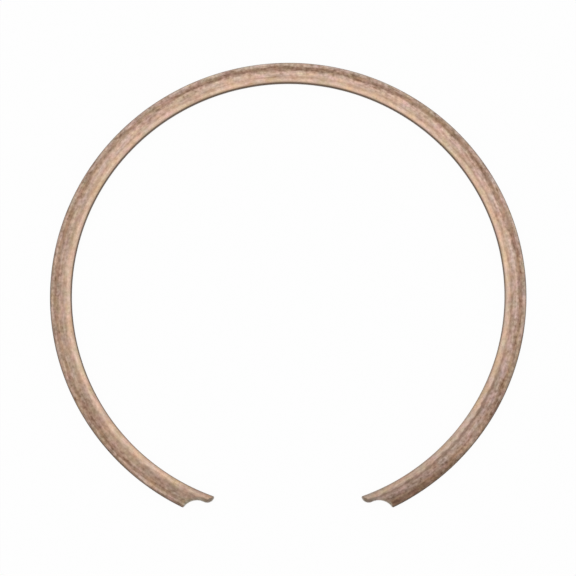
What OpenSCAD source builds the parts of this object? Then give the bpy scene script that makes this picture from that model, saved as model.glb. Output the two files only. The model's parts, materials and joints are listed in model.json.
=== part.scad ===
// Internal retaining ring of constant section, for a groove in a bore of about 100 mm.
// It is coiled on edge from flat spring-steel wire with rolled edges. A scallop is punched
// out of the outer corner of each end, which leaves a nose that a tool can hook behind.
// The ring is drawn free, before it is squeezed into its bore, and lies flat.
// The origin is the centre of the ring at the middle of its thickness, +Z is the ring's
// axis, and the gap faces -Y.

/* [Wire] */
// Outer diameter of the free ring
outer_d = 106; // [90:1:130]
// Radial width of the flat wire
wire_w = 4.85; // [4:0.05:6]
// Thickness of the flat wire
wire_t = 2; // [1.7:0.1:3]
// Radius of the wire's rolled edges
edge_r = 0.8; // [0.3:0.05:0.8]

/* [Gap] */
// Straight width of the free gap, from tip to tip at the inner edge
gap_w = 32; // [16:1:44]

/* [Ends] */
// Radial width of the nose at each end, where the scallop is deepest
nose_w = 1.85; // [1.7:0.05:2.5]
// Length of the nose along the wire, from its tip to where the scallop is deepest
nose_len = 2.2; // [1.8:0.1:4]
// Radius of the nose's outer corner
nose_corner_r = 1.6; // [0.8:0.05:1.65]
// Radius of the scallop
scallop_r = 3.5; // [2.5:0.1:4.5]

/* [Finish] */
// Radius that tumbling leaves along the punched edges
tumble_r = 0.3; // [0.1:0.05:0.5]
// Radius that tumbling leaves on the sharp upright corners
corner_r = 0.3; // [0.1:0.05:0.4]

/* [Hidden] */
$fn = 180;

outer_r = outer_d / 2;
inner_r = outer_r - wire_w;
face_z = wire_t / 2;
// How far a cutting shape runs past the wire
over = 1;
// How far neighbouring cuts run into each other where they would only touch
lap = 0.005;
// How many times its own size the cut at a sharp corner is drawn
past = 1.3;

// An end is drawn with its end face on the XZ plane and the wire on +Y
tip_half_angle = asin(gap_w / 2 / inner_r);
// The blank is sheared off a little longer than the ring
blank_angle = tip_half_angle - over / 2 / outer_r * 180 / PI;

// The nose's rounded outer corner touches the end face and runs into the scallop
scallop_centre = [sqrt(pow(inner_r + nose_w + scallop_r, 2) - pow(nose_len, 2)), nose_len];
nose_centre_y = nose_corner_r - lap;
nose_centre = [scallop_centre[0] - sqrt(pow(scallop_r + nose_corner_r - lap, 2)
    - pow(scallop_centre[1] - nose_centre_y, 2)), nose_centre_y];
to_scallop = scallop_centre - nose_centre;
nose_corner_turn = atan2(to_scallop[1], to_scallop[0]);

// The rounded outer corner of the wire touches the scallop and the outer edge
heel_centre_r = outer_r - corner_r;
heel_angle = atan2(scallop_centre[1], scallop_centre[0]) + acos(
    (pow(norm(scallop_centre), 2) + pow(heel_centre_r, 2) - pow(scallop_r + corner_r, 2))
    / (2 * norm(scallop_centre) * heel_centre_r));
// The rounded inner corner of the nose touches the inner edge and the end face, and ends
// where the nose's outer corner starts
toe_r = min(corner_r, nose_centre[0] - inner_r);
toe_centre_r = inner_r + toe_r;
toe_angle = asin(toe_r / toe_centre_r);

// A point at a radius and an angle from the end face
function polar(r, a) = [r * cos(a), r * sin(a)];

// Section of the wire: flat faces and rolled edges, drawn across X with Y up
module wire_section() {
    flat_w = wire_w - 2 * edge_r;
    translate([inner_r + edge_r, -face_z]) square([flat_w, wire_t]);
    translate([inner_r, edge_r - face_z]) square([wire_w, wire_t - 2 * edge_r]);
    for (x = [inner_r + edge_r, outer_r - edge_r], y = [-1, 1])
        translate([x, y * (face_z - edge_r)]) circle(edge_r);
}

// Half section of a punch whose wall stands at x = 0 and whose stock lies on -X. The stock
// spreads past the wall at both faces, so that the edge it leaves on the +X side is rounded.
module punch_section(depth) {
    round_at = [tumble_r - lap, face_z - tumble_r + lap];
    translate([-depth, -face_z - over]) square([depth, wire_t + 2 * over]);
    for (side = [-1, 1]) scale([1, side]) difference() {
        translate([-over / 2, round_at[1]]) square([over / 2 + round_at[0], tumble_r + over]);
        translate(round_at) circle(tumble_r);
    }
}

// The scallop: a round punch
module scallop_cut() {
    translate(scallop_centre) rotate_extrude()
        intersection() {
            translate([scallop_r, 0]) punch_section(scallop_r);
            translate([0, -face_z - over]) square([scallop_r + over, wire_t + 2 * over]);
        }
}

// The nose's rounded outer corner, from its end face round to the scallop
module nose_corner_cut() {
    translate(nose_centre) rotate([0, 0, -90]) rotate_extrude(angle = 90 + nose_corner_turn)
        translate([nose_corner_r, 0]) mirror([1, 0]) punch_section(wire_w);
}

// The end face, and the stock past it
module end_face_cut() {
    translate([inner_r - over, 0, 0]) rotate([90, 0, 90])
        linear_extrude(wire_w + 2 * over) punch_section(over);
}

// What lies outside a circle that touches both sides of a sharp upright corner
module corner_cut(centre, r, touch_a, touch_b) {
    a = touch_a - centre;
    b = touch_b - centre;
    past_corner = past / (1 + a * b / (r * r));
    translate([0, 0, -face_z - over]) linear_extrude(wire_t + 2 * over) difference() {
        polygon([centre, centre + past * a, centre + past_corner * (a + b), centre + past * b]);
        translate(centre) circle(r + lap);
    }
}

// The wire's outer corner, between its outer edge and the scallop
module heel_cut() {
    centre = polar(heel_centre_r, heel_angle);
    inwards = scallop_centre - centre;
    corner_cut(centre, corner_r, polar(outer_r, heel_angle),
        centre + corner_r * inwards / norm(inwards));
}

// The nose's inner corner, between the wire's inner edge and the end face
module toe_cut() {
    centre = polar(toe_centre_r, toe_angle);
    corner_cut(centre, toe_r, polar(inner_r, toe_angle), [centre[0], 0]);
}

// Draws its children at one end, and mirrored at the other
module at_both_ends() {
    for (side = [0, 1]) mirror([side, 0, 0])
        rotate([0, 0, tip_half_angle - 90]) children();
}

// The coiled wire before its ends are shaped
module blank() {
    rotate([0, 0, blank_angle - 90])
        rotate_extrude(angle = 360 - 2 * blank_angle) wire_section();
}

module retaining_ring() {
    color([0.72, 0.58, 0.49]) difference() {
        blank();
        at_both_ends() scallop_cut();
        at_both_ends() end_face_cut();
        at_both_ends() nose_corner_cut();
        at_both_ends() heel_cut();
        at_both_ends() toe_cut();
    }
}

retaining_ring();
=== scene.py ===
"""Looks of an open retaining ring, coiled on edge from flat spring-steel wire.

Sizes are in metres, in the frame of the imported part: the ring's centre is the origin, +Z is its axis,
the gap faces -Y and the ring lies flat.
"""

import json
import math
from typing import NamedTuple

import bpy
from mathutils import Matrix, Vector


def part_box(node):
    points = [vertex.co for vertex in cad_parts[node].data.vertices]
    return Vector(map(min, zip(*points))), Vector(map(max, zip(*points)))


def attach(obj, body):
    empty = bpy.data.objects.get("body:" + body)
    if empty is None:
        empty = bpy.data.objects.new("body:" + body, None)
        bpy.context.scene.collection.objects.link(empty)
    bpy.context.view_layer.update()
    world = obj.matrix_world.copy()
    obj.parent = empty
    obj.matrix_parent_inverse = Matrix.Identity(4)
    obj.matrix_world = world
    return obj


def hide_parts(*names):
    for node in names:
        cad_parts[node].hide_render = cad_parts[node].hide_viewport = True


bl_info = {
    "name": "Retaining Ring",
    "version": (1, 0, 0),
    "blender": (4, 5, 0),
    "location": "3D View > Sidebar > Retaining Ring",
    "description": "Builds an open retaining ring of flat spring-steel wire, and a plain studio for it",
    "category": "Add Mesh",
}

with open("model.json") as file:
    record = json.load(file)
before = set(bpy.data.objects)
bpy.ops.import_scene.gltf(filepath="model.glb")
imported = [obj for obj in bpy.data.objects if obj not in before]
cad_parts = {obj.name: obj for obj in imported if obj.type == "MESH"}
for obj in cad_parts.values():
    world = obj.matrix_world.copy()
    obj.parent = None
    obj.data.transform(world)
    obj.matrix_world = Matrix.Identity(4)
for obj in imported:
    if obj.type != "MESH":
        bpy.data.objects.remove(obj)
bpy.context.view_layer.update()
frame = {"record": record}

RING_NODE = "retaining_ring"
STEEL_SLOT = "spring_steel"
MM = 0.001

# The ring lies on the floor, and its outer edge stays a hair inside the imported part's box
HAIR = 1e-7
RING_LOW, RING_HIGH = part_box(RING_NODE)
OUTER_REACH = min(RING_HIGH.x, RING_HIGH.y, -RING_LOW.x) - HAIR
INNER_R = next(m["dims"]["r_mm"] for m in frame["record"]["mounts"] if m["name"] == "inner_edge") * MM

# How finely the mesh follows the rolled edges, the face and the outline
EDGE_STEPS = 12
FACE_STEPS = 10
TOE_STEPS = 8
NOSE_STEPS = 12
SCALLOP_STEPS = 22
HEEL_STEPS = 8
COIL_STEPS = 240
# Steps from mid-thickness up to the face, and from edge to edge over the face
WALL_STEPS = EDGE_STEPS + 1
COLUMNS = 2 * WALL_STEPS + FACE_STEPS
# Share of the nose's outer corner that lies across from its inner corner
TOE_SHARE = 0.35
# Share of the way to the heel at which the inner edge is, where the scallop ends
SCALLOP_SHARE = 0.92
# Points that lie this close together become one
WELD = 2e-6
# The mark that is 1 on the punched walls and fades to 0 over the face, and how far it reaches
PUNCHED_MARK = "punched"
PUNCHED_REACH = 0.7 * MM

# Bands of the steel across from the gap, where it is lightest: the share of the way from the inner edge
# to the outer one, and the colour
LIGHTEST_BANDS = (
    (0.10, "bright"),
    (0.18, "bright"),
    # A faint line of painted shade along a ridge of the face
    (0.28, "seam"),
    (0.38, "middle"),
    (0.53, "middle"),
    (0.66, "drawn"),
    (0.75, "drawn"),
    (0.87, "rim"),
)
# Bands of the left side, browner than across from the gap: partly tarnish, partly painted shade
BROWNER_BANDS = (
    (0.10, "bright"),
    (0.20, "bright"),
    (0.36, "browner"),
    (0.62, "browner"),
    (0.68, "drawn"),
    (0.75, "drawn"),
    (0.85, "browner_rim"),
    (0.92, "dark_line"),
)
# Bands of the right side, duller than across from the gap: partly tarnish, partly painted shade
DULL_BANDS = (
    (0.10, "dull_bright"),
    (0.22, "dull_bright"),
    # A line of painted shade along a ridge of the face
    (0.30, "ridge_shade"),
    (0.35, "ridge_shade"),
    (0.44, "dull"),
    (0.60, "dull"),
    (0.73, "drawn"),
    (0.85, "dull_rim"),
    (0.94, "dark_line"),
)

# Random marks on the steel: their length along the wire and their width across it, in millimetres,
# and a shift, in lengths of the mark, that keeps two kinds from having the same pattern
MARKS = {
    "band_border": (9.0, 2.4, 0.0),
    "band_fray": (1.6, 0.45, 0.0),
    "side_border": (14.0, 6.0, 0.0),
    "mottle": (0.75, 0.60, 0.0),
    "streak": (4.0, 0.38, 50.0),
    "patch": (7.0, 1.6, 90.0),
    "blush": (2.4, 1.4, 130.0),
    "haze": (2.4, 1.4, 170.0),
}
# The ranges over which the borders of the bands wander and fray, as shares of the wire's width
BAND_WANDER = 0.14
BAND_FRAY = 0.20
# The range over which the borders of the stretches below wander, in radians
SIDE_WANDER = 0.9

# Stretches of the ring over which a look sets in, in degrees from the side across from the gap
# Over the first two the face turns browner to the left and duller to the right: partly tarnish, partly
# painted shade
BROWNER_LEFT = (0, 140)
DULL_RIGHT = (68, 122)
# The next two: painted light on the inner edges inside both ends
EDGE_LIGHT_LEFT = (110, 150)
EDGE_LIGHT_RIGHT = (80, 130)
DARKER_RIGHT = (128, 142)

# The darker rolled edges, partly scale and partly painted shade: the depths under the face over which
# they set in and how far mottling frays them, in millimetres
SCALE_AND_SHADE_DEPTH = (0.10, 0.50)
SCALE_AND_SHADE_FRAY = 0.2
# Painted light on the inner edge inside each end: how much of the dark edge it takes away there, and the
# shares across the wire over which that stops
LEFT_EDGE_LIGHT = 0.35
RIGHT_EDGE_LIGHT = 0.6
EDGE_LIGHT_ACROSS = (0.3, 0.7)

# The brown rims on the face: the strengths of the punched mark over which they set in, how far
# mottling frays that, and where the nose's rim turns into the scallop's, in millimetres from the tip
RIM_MARK = (0.1, 0.7)
RIM_FRAY = 0.5
NOSE_RIM_END = (1, 3)
# The paler punched walls, partly polish and partly painted light against their own darker shading: the
# mark over which they set in, the depths under the face over which they turn pale, how pale, and the
# depths over which that fades again, by how much
WALL_MARK = (0.90, 1.0)
PALE_DEPTH = (0.0, 0.20)
PALE_COVER = 0.9
PALE_FADE_DEPTH = (0.3, 0.8)
PALE_FADE = 0.55

# How bright the steel is at a tip, and how much brighter it gets over stretches from there, in
# millimetres
TIP_BRIGHTNESS = 0.72
BRIGHTENING = (((0, 8), 0.21), ((8, 24), 0.07))
# How much darker the right end is, and the stretch from its tip over which that sets in
DARKER_BY = 0.10
DARKER_FROM_TIP = (2, 8)

# How strong the grain is on the bright band, and how much stronger it gets across the wire
BRIGHT_GRAIN = 0.62
MORE_GRAIN = 0.68
MORE_GRAIN_ACROSS = (0.15, 0.70)
# How much the grain, the blush and the haze change red, green and blue. The grain changes blue the
# most and red the least, so that dark marks are browner.
RED_CHANGES = (0.86, 0.28, 0.0)
GREEN_CHANGES = (1.0, -0.16, 0.0)
BLUE_CHANGES = (1.13, -0.07, 0.54)

# How much streaks and mottling roughen the steel, how much of its relief is theirs, and how high
# that relief is
STREAK_ROUGHNESS = 0.4
MOTTLE_ROUGHNESS = 0.2
STREAK_HEIGHT = 0.6
MOTTLE_HEIGHT = 0.4
RELIEF_HEIGHT = 0.02 * MM

# The width of the camera's sensor in millimetres, and how near to the camera things are still seen
SENSOR_WIDTH = 36.0
CLIP_START = 0.01
# The look of the surroundings
WHITE = (1.0, 1.0, 1.0)


class RustSpot(NamedTuple):
    """A spot of rust at the right heel.

    Its place is a share of the way across the wire. Its length and width are in millimetres, and
    that far from its middle, each its own way, a point counts as 1 away. The spot fades out over a
    span of such distances, which mottling frays.
    """

    place: float
    length: float
    width: float
    fray: float
    fade: tuple
    strength: float


# Where the spots are, in degrees from the side across from the gap: a broad faint patch over the
# outer edge, and a darker streak in it, which runs back along the wire
RUST_ANGLE = 150
RUST_SPOTS = (
    RustSpot(place=1.0, length=6.0, width=1.2, fray=1.5, fade=(0.6, 3.4), strength=0.46),
    RustSpot(place=0.83, length=13.0, width=0.7, fray=0.8, fade=(0.0, 1.1), strength=0.60),
)


def number(name, description, default, **settings):
    """A number that a user can change."""
    return bpy.props.FloatProperty(name=name, description=description, default=default, **settings)


def length(name, description, default):
    """A size that a user can change."""
    return number(name, description, default, min=0, precision=5, unit="LENGTH")


def share(name, description, default):
    """A strength or amount from 0 to 1."""
    return number(name, description, default, min=0, max=1, subtype="FACTOR")


def degrees(name, description, default):
    """An angle that a user can change, given in degrees."""
    return number(name, description, math.radians(default), subtype="ANGLE")


def colour(name, description, red, green, blue):
    """A colour, given as a paint program gives it, from 0 to 255."""
    linear = [srgb_to_linear(c / 255) for c in (red, green, blue)]
    return bpy.props.FloatVectorProperty(
        name=name, description=description, default=linear, size=3, min=0, max=1, subtype="COLOR"
    )


def srgb_to_linear(c):
    """The brightness that a paint program's number from 0 to 1 stands for, by the sRGB curve."""
    return c / 12.92 if c <= 0.04045 else ((c + 0.055) / 1.055) ** 2.4


class RingSizes(bpy.types.PropertyGroup):
    """Sizes of the ring, as it lies free."""

    outer_d: length("Outer diameter", "Across the free ring", 2 * OUTER_REACH)
    wire_w: length("Wire width", "Radial width of the flat wire", OUTER_REACH - INNER_R)
    wire_t: length("Wire thickness", "Thickness of the flat wire", RING_HIGH.z - RING_LOW.z)
    edge_r: length("Edge radius", "Radius of the wire's rolled edges", 0.8 * MM)
    gap_w: length("Gap", "Straight width from tip to tip at the inner edge", 32 * MM)
    nose_w: length("Nose width", "Radial width of the nose where the scallop is deepest", 1.85 * MM)
    nose_len: length("Nose length", "From the tip to where the scallop is deepest", 2.2 * MM)
    nose_corner_r: length("Nose corner radius", "Radius of the nose's outer corner", 1.6 * MM)
    scallop_r: length("Scallop radius", "Radius of the round cut behind the nose", 3.5 * MM)
    tumble_r: length("Tumbled radius", "Radius along the punched edges", 0.3 * MM)
    corner_r: length("Corner radius", "Radius on the sharp upright corners", 0.3 * MM)


class SteelFinish(bpy.types.PropertyGroup):
    """Colours of the tarnished spring steel, and the strengths of its marks."""

    bright: colour("Bright band", "Peach skin along the inner edge", 211, 180, 156)
    # Painted shade along a ridge of the face, which the flat mesh lacks
    seam: colour("Seam", "Faint darker line beside the bright band", 187, 155, 133)
    middle: colour("Middle", "Pinkish tan of the face's middle", 201, 170, 151)
    drawn: colour("Drawing mark", "Brown band that the wire's drawing left", 153, 122, 101)
    rim: colour("Rim", "Greyish tan along the outer edge", 190, 165, 148)
    # The colours of the left and right sides are partly tarnish and partly painted shade of the face
    browner: colour("Worn middle", "Browner middle of the left side", 164, 136, 117)
    browner_rim: colour("Worn rim", "Browner rim of the left side", 178, 151, 132)
    dull_bright: colour("Dull bright band", "Tan skin along the right side's inner edge", 199, 171, 150)
    # Painted shade along a ridge of the face, which the flat mesh lacks
    ridge_shade: colour("Score", "Dark line that bounds the bright band on the right side", 145, 117, 100)
    dull: colour("Dull middle", "Greyer middle of the right side", 178, 151, 137)
    dull_rim: colour("Dull rim", "Brown rim of the right side", 166, 139, 120)
    dark_line: colour("Dark line", "Brown line just inside the outer edge of both sides", 149, 123, 104)
    # Partly scale, partly painted shade: the colour that darkens the rolled edges
    scale: colour("Edge scale", "Dark scale on the rolled edges", 79, 57, 38)
    nose_rim: colour("Nose rim", "Dark brown rim round the nose", 134, 114, 98)
    punched: colour("Punched rim", "Brown grey rim along the scallop", 156, 137, 121)
    # Partly polish, partly painted light that offsets the walls' own shading
    tumbled_and_lit: colour("Tumbled edge", "Paler punched walls and their rounded edges", 186, 170, 156)
    rust: colour("Rust", "Rust-brown patch at one heel", 106, 68, 43)
    mottling: number("Mottling", "Strength of the small marks", 1.4, min=0)
    streaking: number("Streaking", "Strength of the thin marks along the wire", 0.95, min=0)
    patching: number("Patching", "Strength of the broad marks", 0.8, min=0)
    # How thickly the dark edge, partly scale and partly painted shade, covers the rolled edges
    scale_and_shade_cover: share("Scale cover", "How thickly the scale covers the rolled edges", 0.95)
    rim_cover: share("Rim cover", "How thickly the rims cover the face at the punched edges", 0.95)
    metallic: share("Metallic", "How much the skin shines as bare metal does", 0.3)
    gloss: share("Gloss", "Specular level of the skin", 0.3)
    roughness: share("Roughness", "Of the skin between its marks", 0.45)
    relief: share("Relief", "How strongly the marks stand out in the light", 0.3)


class StudioSettings(bpy.types.PropertyGroup):
    """Camera, floor and light."""

    elevation: degrees("Elevation", "Camera above the horizon", 79.48)
    azimuth: degrees("Azimuth", "Camera round the ring from -Y", 3.25)
    roll: degrees("Roll", "Camera about its own line of sight", -3.288)
    distance: length("Distance", "From the camera to the floor at the ring's centre", 0.381)
    lens: number("Lens", "Focal length on a full-frame sensor, in millimetres", 106.7, min=1)
    shift_x: number("Shift X", "Sideways shift of the frame", 0.0001, precision=4)
    shift_y: number("Shift Y", "Upward shift of the frame", 0.0075, precision=4)
    floor_size: length("Floor size", "Side of the square floor", 6.0)
    floor_paper: share("Floor paper", "How much of the light the floor's paper throws back", 0.8)
    floor_white: share("Floor white", "How much of the floor's look is plain white", 0.96)
    ambient: share("Ambient", "Light that comes from all round", 0.75)
    lamp_place: bpy.props.FloatVectorProperty(
        name="Lamp place",
        description="Centre of the soft lamp",
        default=(-0.15, -0.10, 0.90),
        subtype="TRANSLATION",
    )
    lamp_size: length("Lamp size", "Side of the square soft lamp", 0.9)
    lamp_power: number("Lamp power", "Of the soft lamp", 1.9, min=0, unit="POWER")


class Nodes:
    """Adds nodes to one tree, of shader nodes or of geometry nodes."""

    def __init__(self, tree):
        self.tree = tree

    def node(self, kind, settings=None, inputs=None):
        """A node of that kind: first its settings, then the values or links of its sockets."""
        made = self.tree.nodes.new(kind)
        for name, setting in (settings or {}).items():
            if name == "stops":
                set_stops(made.color_ramp, setting)
            else:
                setattr(made, name, setting)
        for key, given in (inputs or {}).items():
            if isinstance(given, Value):
                given = given.socket
            if isinstance(given, bpy.types.NodeSocket):
                self.tree.links.new(given, made.inputs[key])
            else:
                made.inputs[key].default_value = given
        return made

    def math(self, operation, *given):
        made = self.node("ShaderNodeMath", {"operation": operation}, dict(enumerate(given)))
        return Value(self, made.outputs[0])

    def vector(self, x, y, z):
        return self.node("ShaderNodeCombineXYZ", inputs={"X": x, "Y": y, "Z": z}).outputs[0]

    def split(self, vector):
        """The three numbers of a vector."""
        made = self.node("ShaderNodeSeparateXYZ", inputs={0: vector})
        return [Value(self, socket) for socket in made.outputs]

    def mix(self, a, b, factor, blend="MIX"):
        """A colour between a and b, or b laid over a in another way."""
        settings = {"data_type": "RGBA", "blend_type": blend}
        # The node has sockets of each data type, and its colours go in at 6 and 7 and come out at 2
        made = self.node("ShaderNodeMix", settings, {0: factor, 6: a, 7: b})
        return made.outputs[2]

    def ramp(self, factor, stops):
        """A colour by the place of factor between the stops."""
        return self.node("ShaderNodeValToRGB", {"stops": stops}, {0: factor}).outputs["Color"]

    def noise(self, place):
        """Smooth random numbers round a half, whose marks are about as long as a unit of place."""
        made = self.node("ShaderNodeTexNoise", inputs={"Vector": place, "Scale": 1.0})
        return Value(self, made.outputs[0])


def set_stops(ramp, stops):
    """Puts the stops, each a place and a colour, on a colour ramp."""
    while len(ramp.elements) < len(stops):
        ramp.elements.new(1.0)
    for element, (place, paint) in zip(ramp.elements, stops):
        element.position = place
        element.color = paint


def rgba(rgb):
    return (*rgb, 1.0)


def empty_nodes(owner):
    """The nodes of a new material or world, without those that it starts with."""
    owner.use_nodes = True
    owner.node_tree.nodes.clear()
    return Nodes(owner.node_tree)


class Value:
    """A number on a socket. Arithmetic on it adds Math nodes to its tree."""

    def __init__(self, nodes, socket):
        self.nodes = nodes
        self.socket = socket

    def __add__(self, other):
        return self.nodes.math("ADD", self, other)

    def __radd__(self, other):
        return self.nodes.math("ADD", other, self)

    def __sub__(self, other):
        return self.nodes.math("SUBTRACT", self, other)

    def __rsub__(self, other):
        return self.nodes.math("SUBTRACT", other, self)

    def __mul__(self, other):
        return self.nodes.math("MULTIPLY", self, other)

    def __rmul__(self, other):
        return self.nodes.math("MULTIPLY", other, self)

    def __truediv__(self, other):
        return self.nodes.math("DIVIDE", self, other)

    def __rtruediv__(self, other):
        return self.nodes.math("DIVIDE", other, self)

    def squared(self):
        return self.nodes.math("MULTIPLY", self, self)

    def sqrt(self):
        return self.nodes.math("SQRT", self)

    def sin(self):
        return self.nodes.math("SINE", self)

    def cos(self):
        return self.nodes.math("COSINE", self)

    def asin(self):
        return self.nodes.math("ARCSINE", self)

    def acos(self):
        return self.nodes.math("ARCCOSINE", self)

    def atan2(self, other):
        return self.nodes.math("ARCTAN2", self, other)

    def abs(self):
        return self.nodes.math("ABSOLUTE", self)

    def least(self, other):
        return self.nodes.math("MINIMUM", self, other)

    def most(self, other):
        return self.nodes.math("MAXIMUM", self, other)

    def between(self, low, high):
        """Rises from 0 at low to 1 at high and stays there, eased at both."""
        inputs = {"Value": self, "From Min": low, "From Max": high}
        made = self.nodes.node("ShaderNodeMapRange", {"interpolation_type": "SMOOTHSTEP"}, inputs)
        return Value(self.nodes, made.outputs[0])


def reach(x, y):
    """How far a point is from the origin."""
    return (x.squared() + y.squared()).sqrt()


def on_arc(centre, radius, angle):
    """The point of a circle at an angle."""
    return centre[0] + radius * angle.cos(), centre[1] + radius * angle.sin()


def direction(start, end):
    """The angle of the way from one point to another."""
    return (end[1] - start[1]).atan2(end[0] - start[0])


def touching(from_origin, other, from_other, side):
    """The angle round the origin of the point that lies that far from it and that far from another.

    Of the two such points, side 1 is the one further round and side -1 is the other.
    """
    apart = reach(*other)
    squares = apart.squared() + from_origin.squared() - from_other.squared()
    bend = (squares / (2 * apart * from_origin)).acos()
    return other[1].atan2(other[0]) + side * bend


class RingTree:
    """The geometry nodes that make the ring.

    A quarter of the ring, above mid-thickness and from one tip round to the side across from the gap,
    is made of strips. A strip is a grid whose X follows the outline and whose Y goes up the outer
    wall, over the face and down the inner wall. It is laid out in the end's own frame: the ring's
    centre is the origin, the tip touches the X axis and the wire runs on along +Y.
    """

    def __init__(self, size_properties, steel):
        self.tree = bpy.data.node_groups.new("Retaining ring", "GeometryNodeTree")
        self.nodes = Nodes(self.tree)
        interface = self.tree.interface
        interface.new_socket("Geometry", in_out="OUTPUT", socket_type="NodeSocketGeometry")
        self.sockets = {}
        for prop in size_properties:
            socket = interface.new_socket(prop.name, in_out="INPUT", socket_type="NodeSocketFloat")
            socket.subtype = "DISTANCE"
            self.sockets[prop.identifier] = socket.identifier
        group_input = self.nodes.node("NodeGroupInput")
        for prop in size_properties:
            setattr(self, prop.identifier, Value(self.nodes, group_input.outputs[prop.name]))
        self.lay_out_section()
        self.lay_out_end()
        self.finish(self.quarter_ring(), steel)

    def lay_out_section(self):
        """Half section of the wire: how far up a point is, and how far the walls are set in there."""
        place = self.nodes.node("GeometryNodeInputPosition").outputs[0]
        x, y, _ = self.nodes.split(place)
        # A strip's grid is 1 long and COLUMNS high, and its centre is the origin
        self.along = x + 0.5
        column = y + COLUMNS / 2
        rise = column.least(COLUMNS - column).least(WALL_STEPS)
        turn = (rise - 1).most(0) * (math.pi / 2 / EDGE_STEPS)
        face_z = self.wire_t / 2
        self.up = rise.least(1) * (face_z - self.edge_r * (1 - turn.sin()))
        self.edge_inset = self.edge_r * (1 - turn.cos())
        into_round = (self.up - face_z + self.tumble_r).most(0)
        self.punch_inset = self.tumble_r - (self.tumble_r.squared() - into_round.squared()).sqrt()
        over_face = ((column - WALL_STEPS) / FACE_STEPS).most(0).least(1)
        self.outer_share = (1 + (over_face * math.pi).cos()) / 2

    def lay_out_end(self):
        """Centres and angles of the arcs that one end is made of."""
        self.outer_r = self.outer_d / 2 - self.edge_inset
        self.inner_r = self.outer_d / 2 - self.wire_w
        self.ring_centre = (0.0, 0.0)
        self.tip_half_angle = (self.gap_w / 2 / self.inner_r).asin()
        self.far_side = math.pi - self.tip_half_angle

        scallop_reach = self.inner_r + self.nose_w + self.scallop_r
        scallop_x = (scallop_reach.squared() - self.nose_len.squared()).sqrt()
        self.scallop_centre = (scallop_x, self.nose_len)

        centres = self.scallop_r + self.nose_corner_r
        rise = self.nose_len - self.nose_corner_r
        nose_x = scallop_x - (centres.squared() - rise.squared()).sqrt()
        self.nose_centre = (nose_x, self.nose_corner_r)
        self.nose_turn = rise.atan2(scallop_x - nose_x)
        nose_end = on_arc(self.nose_centre, self.nose_corner_r, self.nose_turn)
        self.nose_end_angle = nose_end[1].atan2(nose_end[0])

        self.toe_r = self.corner_r.least(nose_x - self.inner_r)
        self.inner_edge = self.inner_r + self.edge_inset
        self.nose_r = self.nose_corner_r - self.punch_inset
        toe_reach = self.inner_edge + self.toe_r
        self.toe_angle = touching(toe_reach, self.nose_centre, self.nose_r - self.toe_r, -1)
        self.toe_centre = on_arc(self.ring_centre, toe_reach, self.toe_angle)
        self.toe_turn = direction(self.nose_centre, self.toe_centre)

        self.cut_r = self.scallop_r + self.punch_inset
        heel_reach = self.outer_r - self.corner_r
        self.heel_angle = touching(heel_reach, self.scallop_centre, self.cut_r + self.corner_r, 1)
        self.heel_centre = on_arc(self.ring_centre, heel_reach, self.heel_angle)
        self.heel_turn = direction(self.scallop_centre, self.heel_centre)

    def arc(self, centre, radius, start, end):
        """The point on an arc that the strip has reached."""
        return on_arc(centre, radius, start + (end - start) * self.along)

    def inner_arc(self, start, end):
        """The point that the strip has reached on the wire's inner edge."""
        return self.arc(self.ring_centre, self.inner_edge, start, end)

    def strip(self, steps, outer, inner, outer_punched, inner_punched=0.0):
        """A grid bent between two arcs of the outline, with a mark that fades from its punched walls."""
        inputs = {"Size X": 1.0, "Size Y": COLUMNS, "Vertices X": steps + 1, "Vertices Y": COLUMNS + 1}
        grid = self.nodes.node("GeometryNodeMeshGrid", inputs=inputs).outputs["Mesh"]
        from_inner = [(b - a) * self.outer_share for a, b in zip(inner, outer)]
        from_outer = [(a - b) * (1 - self.outer_share) for a, b in zip(inner, outer)]
        near_outer = (1 - reach(*from_outer) / PUNCHED_REACH).most(0)
        near_inner = (1 - reach(*from_inner) / PUNCHED_REACH).most(0)
        mark = (near_outer * outer_punched).most(near_inner * inner_punched)
        marked = self.nodes.node(
            "GeometryNodeStoreNamedAttribute",
            {"data_type": "FLOAT", "domain": "POINT"},
            {"Geometry": grid, "Name": PUNCHED_MARK, "Value": mark},
        )
        x, y = (a + step for a, step in zip(inner, from_inner))
        inputs = {"Geometry": marked.outputs[0], "Position": self.nodes.vector(x, y, self.up)}
        return self.nodes.node("GeometryNodeSetPosition", inputs=inputs).outputs[0]

    def quarter_ring(self):
        """From the tip round to the side across from the gap."""
        toe_end = self.toe_turn + (self.nose_turn - self.toe_turn) * TOE_SHARE
        scallop_end = self.nose_end_angle + (self.heel_angle - self.nose_end_angle) * SCALLOP_SHARE
        toe = self.strip(
            TOE_STEPS,
            self.arc(self.nose_centre, self.nose_r, self.toe_turn, toe_end),
            self.arc(self.toe_centre, self.toe_r, self.toe_turn, self.toe_angle - math.pi),
            outer_punched=1.0,
            inner_punched=1.0,
        )
        nose = self.strip(
            NOSE_STEPS,
            self.arc(self.nose_centre, self.nose_r, toe_end, self.nose_turn),
            self.inner_arc(self.toe_angle, self.nose_end_angle),
            outer_punched=1.0,
        )
        scallop = self.strip(
            SCALLOP_STEPS,
            self.arc(self.scallop_centre, self.cut_r, self.nose_turn + math.pi, self.heel_turn),
            self.inner_arc(self.nose_end_angle, scallop_end),
            outer_punched=1.0,
        )
        heel = self.strip(
            HEEL_STEPS,
            self.arc(self.heel_centre, self.corner_r, self.heel_turn - math.pi, self.heel_angle),
            self.inner_arc(scallop_end, self.heel_angle),
            outer_punched=1.0 - self.along,
        )
        coil = self.strip(
            COIL_STEPS,
            self.arc(self.ring_centre, self.outer_r, self.heel_angle, self.far_side),
            self.inner_arc(self.heel_angle, self.far_side),
            outer_punched=0.0,
        )
        return self.join(toe, nose, scallop, heel, coil)

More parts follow.
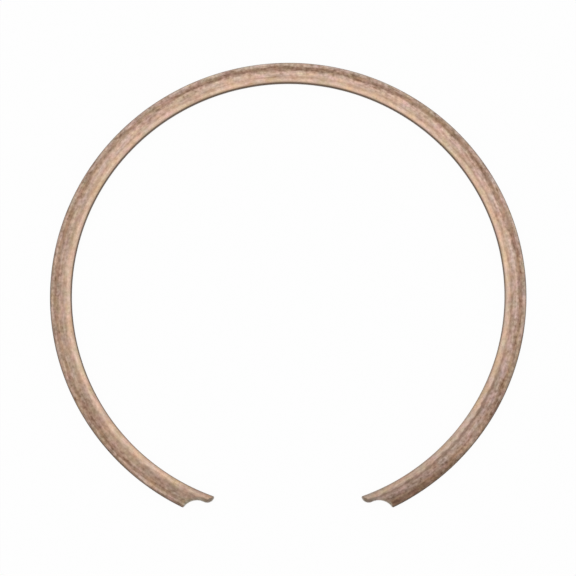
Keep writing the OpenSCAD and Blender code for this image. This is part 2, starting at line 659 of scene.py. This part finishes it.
    def join(self, *parts):
        """Several parts as one."""
        made = self.nodes.node("GeometryNodeJoinGeometry")
        for part in parts:
            self.tree.links.new(part, made.inputs[0])
        return made.outputs[0]

    def with_mirror_image(self, half, scale):
        """The part and its mirror image, whose faces are turned to point outwards again."""
        image = self.nodes.node("GeometryNodeTransform", inputs={"Geometry": half, "Scale": scale})
        turned = self.nodes.node("GeometryNodeFlipFaces", inputs={"Mesh": image.outputs[0]})
        return self.join(half, turned.outputs[0])

    def finish(self, quarter, steel):
        """Turns the end to its place, mirrors it down and across, and welds the strips."""
        place = self.nodes.node("GeometryNodeInputPosition").outputs[0]
        angle = self.tip_half_angle - math.pi / 2
        turned = self.nodes.node(
            "ShaderNodeVectorRotate", {"rotation_type": "Z_AXIS"}, {"Vector": place, "Angle": angle}
        )
        inputs = {"Geometry": quarter, "Position": turned.outputs[0]}
        placed = self.nodes.node("GeometryNodeSetPosition", inputs=inputs).outputs[0]
        right_half = self.with_mirror_image(placed, (1, 1, -1))
        whole = self.with_mirror_image(right_half, (-1, 1, 1))
        inputs = {"Geometry": whole, "Distance": WELD}
        welded = self.nodes.node("GeometryNodeMergeByDistance", inputs=inputs).outputs[0]
        smooth = self.nodes.node("GeometryNodeSetShadeSmooth", inputs={"Geometry": welded}).outputs[0]
        real = self.nodes.node("GeometryNodeRealizeInstances", inputs={"Geometry": smooth}).outputs[0]
        inputs = {"Geometry": real, "Material": steel}
        coated = self.nodes.node("GeometryNodeSetMaterial", inputs=inputs).outputs[0]
        self.nodes.node("NodeGroupOutput", inputs={0: coated})


class SpringSteel:
    """Tarnished steel with a drawn skin: bands and streaks run along the wire.

    Places on it are in millimetres: along the wire from the side across from the gap to its tips,
    where the right side is above 0, across the wire from its inner edge, up from mid-thickness,
    and in depth under the nearer face.
    """

    def __init__(self, finish, sizes):
        self.finish = finish
        self.material = bpy.data.materials.new(STEEL_SLOT)
        self.nodes = empty_nodes(self.material)
        self.lay_out_places(sizes)
        self.mottle = self.marks("mottle")
        self.streak = self.marks("streak")
        rusted = self.with_rust(self.banded())
        punched = self.with_punched_edges(self.with_edge_scale_and_shade(rusted))
        self.shade(self.nodes.mix(punched, self.grain_tint(), 1.0, "MULTIPLY"))

    def lay_out_places(self, sizes):
        """Where a point is. Its share across and its turn wander, and so do the looks' borders."""
        x, y, z = self.nodes.split(self.nodes.node("ShaderNodeTexCoord").outputs["Object"])
        self.wire_w = sizes.wire_w / MM
        inner_r = sizes.outer_d / 2 / MM - self.wire_w
        self.middle_r = inner_r + self.wire_w / 2
        angle = x.atan2(y)
        self.along = angle * self.middle_r
        self.across = reach(x, y) / MM - inner_r
        self.up = z / MM
        self.depth = sizes.wire_t / 2 / MM - self.up.abs()
        tip_angle = math.pi - math.asin(sizes.gap_w / 2 / MM / inner_r)
        self.from_tip = (tip_angle - angle.abs()) * self.middle_r
        wandered = self.across / self.wire_w + self.marks("band_border") * BAND_WANDER
        self.share_across = wandered + self.marks("band_fray") * BAND_FRAY
        self.turned = angle + self.marks("side_border") * SIDE_WANDER

    def marks(self, kind):
        """Noise round 0 whose marks have that kind's length along the wire and width across it."""
        long, wide, shift = MARKS[kind]
        place = self.nodes.vector(self.along / long + shift, self.across / wide, self.up / wide)
        return self.nodes.noise(place) - 0.5

    def to_right(self, start, end):
        """Rises from 0 to 1 over that stretch of the right side."""
        return self.turned.between(math.radians(start), math.radians(end))

    def to_left(self, start, end):
        """Rises from 0 to 1 over that stretch of the left side."""
        return (-1 * self.turned).between(math.radians(start), math.radians(end))

    def paint(self, name):
        """One of the finish's colours."""
        return rgba(getattr(self.finish, name))

    def painted(self, bands):
        """The colour that a point has from such bands."""
        return self.nodes.ramp(self.share_across, [(place, self.paint(name)) for place, name in bands])

    def banded(self):
        """Bands, lightest across from the gap, browner to the left and duller to the right."""
        # The browner and duller sides are partly tarnish and partly painted shade
        lightest, browner, dull = (self.painted(bands) for bands in (LIGHTEST_BANDS, BROWNER_BANDS, DULL_BANDS))
        left_browner = self.nodes.mix(lightest, browner, self.to_left(*BROWNER_LEFT))
        return self.nodes.mix(left_browner, dull, self.to_right(*DULL_RIGHT))

    def with_rust(self, skin):
        """A patch and a streak of rust at the right heel."""
        along = self.along - math.radians(RUST_ANGLE) * self.middle_r
        for spot in RUST_SPOTS:
            across = self.across - self.wire_w * spot.place
            away = reach(along / spot.length, across / spot.width) + self.mottle * spot.fray
            cover = (1 - away.between(*spot.fade)) * spot.strength
            skin = self.nodes.mix(skin, self.paint("rust"), cover)
        return skin

    def with_edge_scale_and_shade(self, skin):
        """Darker rolled edges, partly scale and partly painted shade, and painted light inside both ends.
        """
        # Painted light: the inner edge is lighter inside both ends
        edge_light = self.to_right(*EDGE_LIGHT_RIGHT) * RIGHT_EDGE_LIGHT + self.to_left(*EDGE_LIGHT_LEFT) * LEFT_EDGE_LIGHT
        inside = 1 - self.share_across.between(*EDGE_LIGHT_ACROSS)
        scale_and_shade = (self.depth + self.mottle * SCALE_AND_SHADE_FRAY).between(*SCALE_AND_SHADE_DEPTH)
        cover = scale_and_shade * (self.finish.scale_and_shade_cover - edge_light * inside)
        return self.nodes.mix(skin, self.paint("scale"), cover)

    def with_punched_edges(self, skin):
        """The punched edges: brown rims on the face, darkest round the nose, and paler walls, partly
        painted light.
        """
        attribute = self.nodes.node("ShaderNodeAttribute", {"attribute_name": PUNCHED_MARK})
        punched = Value(self.nodes, attribute.outputs["Fac"])
        past_nose = self.from_tip.between(*NOSE_RIM_END)
        rim = self.nodes.mix(self.paint("nose_rim"), self.paint("punched"), past_nose)
        rim_cover = (punched + self.mottle * RIM_FRAY).between(*RIM_MARK) * self.finish.rim_cover
        rimmed = self.nodes.mix(skin, rim, rim_cover)
        # Painted light, partly polish: the punched walls turn paler just below the face
        faded = self.depth.between(*PALE_FADE_DEPTH) * PALE_FADE
        pale = self.depth.between(*PALE_DEPTH) * (PALE_COVER - faded)
        return self.nodes.mix(rimmed, self.paint("tumbled_and_lit"), punched.between(*WALL_MARK) * pale)

    def brightness(self):
        """1, but less towards both tips, and less again at the right end."""
        level = TIP_BRIGHTNESS
        for stretch, rise in BRIGHTENING:
            level = level + self.from_tip.between(*stretch) * rise
        right_end = self.to_right(*DARKER_RIGHT) * self.from_tip.between(*DARKER_FROM_TIP)
        return level - right_end * DARKER_BY

    def grain_tint(self):
        """Mottling, streaks and patches of tarnish, which are faintest on the bright band."""
        fine = self.mottle * self.finish.mottling + self.streak * self.finish.streaking
        strength = BRIGHT_GRAIN + self.share_across.between(*MORE_GRAIN_ACROSS) * MORE_GRAIN
        grain = (fine + self.marks("patch") * self.finish.patching) * strength
        level = self.brightness()
        blush = self.marks("blush")
        haze = self.marks("haze")

        def channel(by_grain, by_blush, by_haze):
            return level * (1 + grain * by_grain) * (1 + blush * by_blush + haze * by_haze)

        return self.nodes.vector(channel(*RED_CHANGES), channel(*GREEN_CHANGES), channel(*BLUE_CHANGES))

    def shade(self, skin):
        """The surface itself, whose roughness and slight relief follow the streaks and the mottling."""
        roughness = self.finish.roughness + self.streak * STREAK_ROUGHNESS + self.mottle * MOTTLE_ROUGHNESS
        height = self.streak * STREAK_HEIGHT + self.mottle * MOTTLE_HEIGHT
        inputs = {"Strength": self.finish.relief, "Distance": RELIEF_HEIGHT, "Height": height}
        bump = self.nodes.node("ShaderNodeBump", inputs=inputs)
        shader = self.nodes.node(
            "ShaderNodeBsdfPrincipled",
            inputs={
                "Base Color": skin,
                "Metallic": self.finish.metallic,
                "Roughness": roughness,
                "Specular IOR Level": self.finish.gloss,
                "Normal": bump.outputs[0],
            },
        )
        self.nodes.node("ShaderNodeOutputMaterial", inputs={"Surface": shader.outputs[0]})


class AddRing(bpy.types.Operator):
    """Makes the ring and its steel, in place of the plain solid"""

    bl_idname = "retaining_ring.add_ring"
    bl_label = "Add Ring"

    def execute(self, context):
        sizes = context.scene.ring_sizes
        steel = SpringSteel(context.scene.steel_finish, sizes)
        size_properties = [p for p in RingSizes.bl_rna.properties if p.type == "FLOAT"]
        made = RingTree(size_properties, steel.material)
        ring = bpy.data.objects.new("coiled_ring", bpy.data.meshes.new("coiled_ring"))
        context.scene.collection.objects.link(ring)
        modifier = ring.modifiers.new("Retaining ring", "NODES")
        modifier.node_group = made.tree
        for name, identifier in made.sockets.items():
            modifier[identifier] = getattr(sizes, name)
        evaluated = ring.evaluated_get(context.evaluated_depsgraph_get())
        mesh = bpy.data.meshes.new_from_object(evaluated)
        ring.modifiers.clear()
        ring.data = mesh
        if not mesh.polygons:
            raise RuntimeError("the ring's nodes made no mesh")
        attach(ring, "root")
        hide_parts(RING_NODE)
        return {"FINISHED"}


class SetStage(bpy.types.Operator):
    """Makes the pale floor, the soft studio light and the camera"""

    bl_idname = "retaining_ring.set_stage"
    bl_label = "Set Stage"

    def execute(self, context):
        studio = context.scene.studio_settings
        add_floor(context.scene, studio)
        light_world(context.scene, studio)
        add_lamp(context.scene, studio)
        add_camera(context.scene, studio)
        context.scene.view_settings.view_transform = "Standard"
        return {"FINISHED"}


def seen(nodes):
    """1 for rays that show the surroundings: the camera's, reflected and refracted ones."""
    path = nodes.node("ShaderNodeLightPath")
    names = ("Is Camera Ray", "Is Glossy Ray", "Is Transmission Ray")
    camera, glossy, through = (Value(nodes, path.outputs[name]) for name in names)
    return (camera + glossy + through).least(1)


def floor_paper(studio):
    """Pale matt paper, nearly white to the eye, that keeps the ring's soft shadow."""
    paper = bpy.data.materials.new("floor_paper")
    nodes = empty_nodes(paper)
    matt = nodes.node("ShaderNodeBsdfDiffuse", inputs={"Color": rgba([studio.floor_paper] * 3)})
    white = nodes.node("ShaderNodeEmission", inputs={"Color": rgba(WHITE), "Strength": 1.0})
    inputs = {0: seen(nodes) * studio.floor_white, 1: matt.outputs[0], 2: white.outputs[0]}
    shown = nodes.node("ShaderNodeMixShader", inputs=inputs)
    nodes.node("ShaderNodeOutputMaterial", inputs={"Surface": shown.outputs[0]})
    return paper


def add_floor(scene, studio):
    """A wide floor under the ring."""
    half = studio.floor_size / 2
    corners = [(-half, -half), (half, -half), (half, half), (-half, half)]
    mesh = bpy.data.meshes.new("floor")
    mesh.from_pydata([(x, y, RING_LOW.z) for x, y in corners], [], [(0, 1, 2, 3)])
    mesh.materials.append(floor_paper(studio))
    floor = bpy.data.objects.new("floor", mesh)
    scene.collection.objects.link(floor)


def light_world(scene, studio):
    """Even light from all round, which looks white."""
    world = bpy.data.worlds.new("studio")
    nodes = empty_nodes(world)
    strength = studio.ambient + seen(nodes) * (1 - studio.ambient)
    sky = nodes.node("ShaderNodeBackground", inputs={"Color": rgba(WHITE), "Strength": strength})
    nodes.node("ShaderNodeOutputWorld", inputs={"Surface": sky.outputs[0]})
    scene.world = world


def add_lamp(scene, studio):
    """A square soft lamp that faces the ring's centre."""
    light = bpy.data.lights.new("key_softbox", "AREA")
    light.size = studio.lamp_size
    light.energy = studio.lamp_power
    lamp = bpy.data.objects.new("key_softbox", light)
    lamp.location = studio.lamp_place
    lamp.rotation_euler = (-Vector(studio.lamp_place)).to_track_quat("-Z", "Y").to_euler()
    scene.collection.objects.link(lamp)


def add_camera(scene, studio):
    """A camera that looks down on the ring's centre at floor height, slightly turned about its view."""
    back = Vector(
        (
            math.sin(studio.azimuth) * math.cos(studio.elevation),
            -math.cos(studio.azimuth) * math.cos(studio.elevation),
            math.sin(studio.elevation),
        )
    )
    right = Vector((math.cos(studio.azimuth), math.sin(studio.azimuth), 0))
    up = back.cross(right)
    turn = Matrix((right, up, back)).transposed() @ Matrix.Rotation(studio.roll, 3, "Z")
    lens = bpy.data.cameras.new("camera")
    lens.sensor_width = SENSOR_WIDTH
    lens.lens = studio.lens
    lens.shift_x = studio.shift_x
    lens.shift_y = studio.shift_y
    lens.clip_start = CLIP_START
    camera = bpy.data.objects.new("camera", lens)
    place = Vector((0, 0, RING_LOW.z)) + back * studio.distance
    camera.matrix_world = Matrix.Translation(place) @ turn.to_4x4()
    scene.collection.objects.link(camera)
    scene.camera = camera


class RingPanel(bpy.types.Panel):
    """Sizes, colours and the steps of the ring, in the order in which they run."""

    bl_idname = "VIEW3D_PT_retaining_ring"
    bl_label = "Retaining Ring"
    bl_space_type = "VIEW_3D"
    bl_region_type = "UI"
    bl_category = "Retaining Ring"

    def draw(self, context):
        for group, operator in (
            (context.scene.ring_sizes, None),
            (context.scene.steel_finish, AddRing),
            (context.scene.studio_settings, SetStage),
        ):
            box = self.layout.box()
            for prop in group.bl_rna.properties:
                if prop.identifier not in ("rna_type", "name"):
                    box.prop(group, prop.identifier)
            if operator:
                box.operator(operator.bl_idname)


CLASSES = (RingSizes, SteelFinish, StudioSettings, AddRing, SetStage, RingPanel)
GROUPS = {"ring_sizes": RingSizes, "steel_finish": SteelFinish, "studio_settings": StudioSettings}


def register():
    for cls in CLASSES:
        bpy.utils.register_class(cls)
    for name, group in GROUPS.items():
        setattr(bpy.types.Scene, name, bpy.props.PointerProperty(type=group))


def unregister():
    for name in GROUPS:
        delattr(bpy.types.Scene, name)
    for cls in reversed(CLASSES):
        bpy.utils.unregister_class(cls)


def main():
    register()
    bpy.ops.retaining_ring.add_ring()
    bpy.ops.retaining_ring.set_stage()
    bpy.context.view_layer.update()


if __name__ == "__main__":
    main()
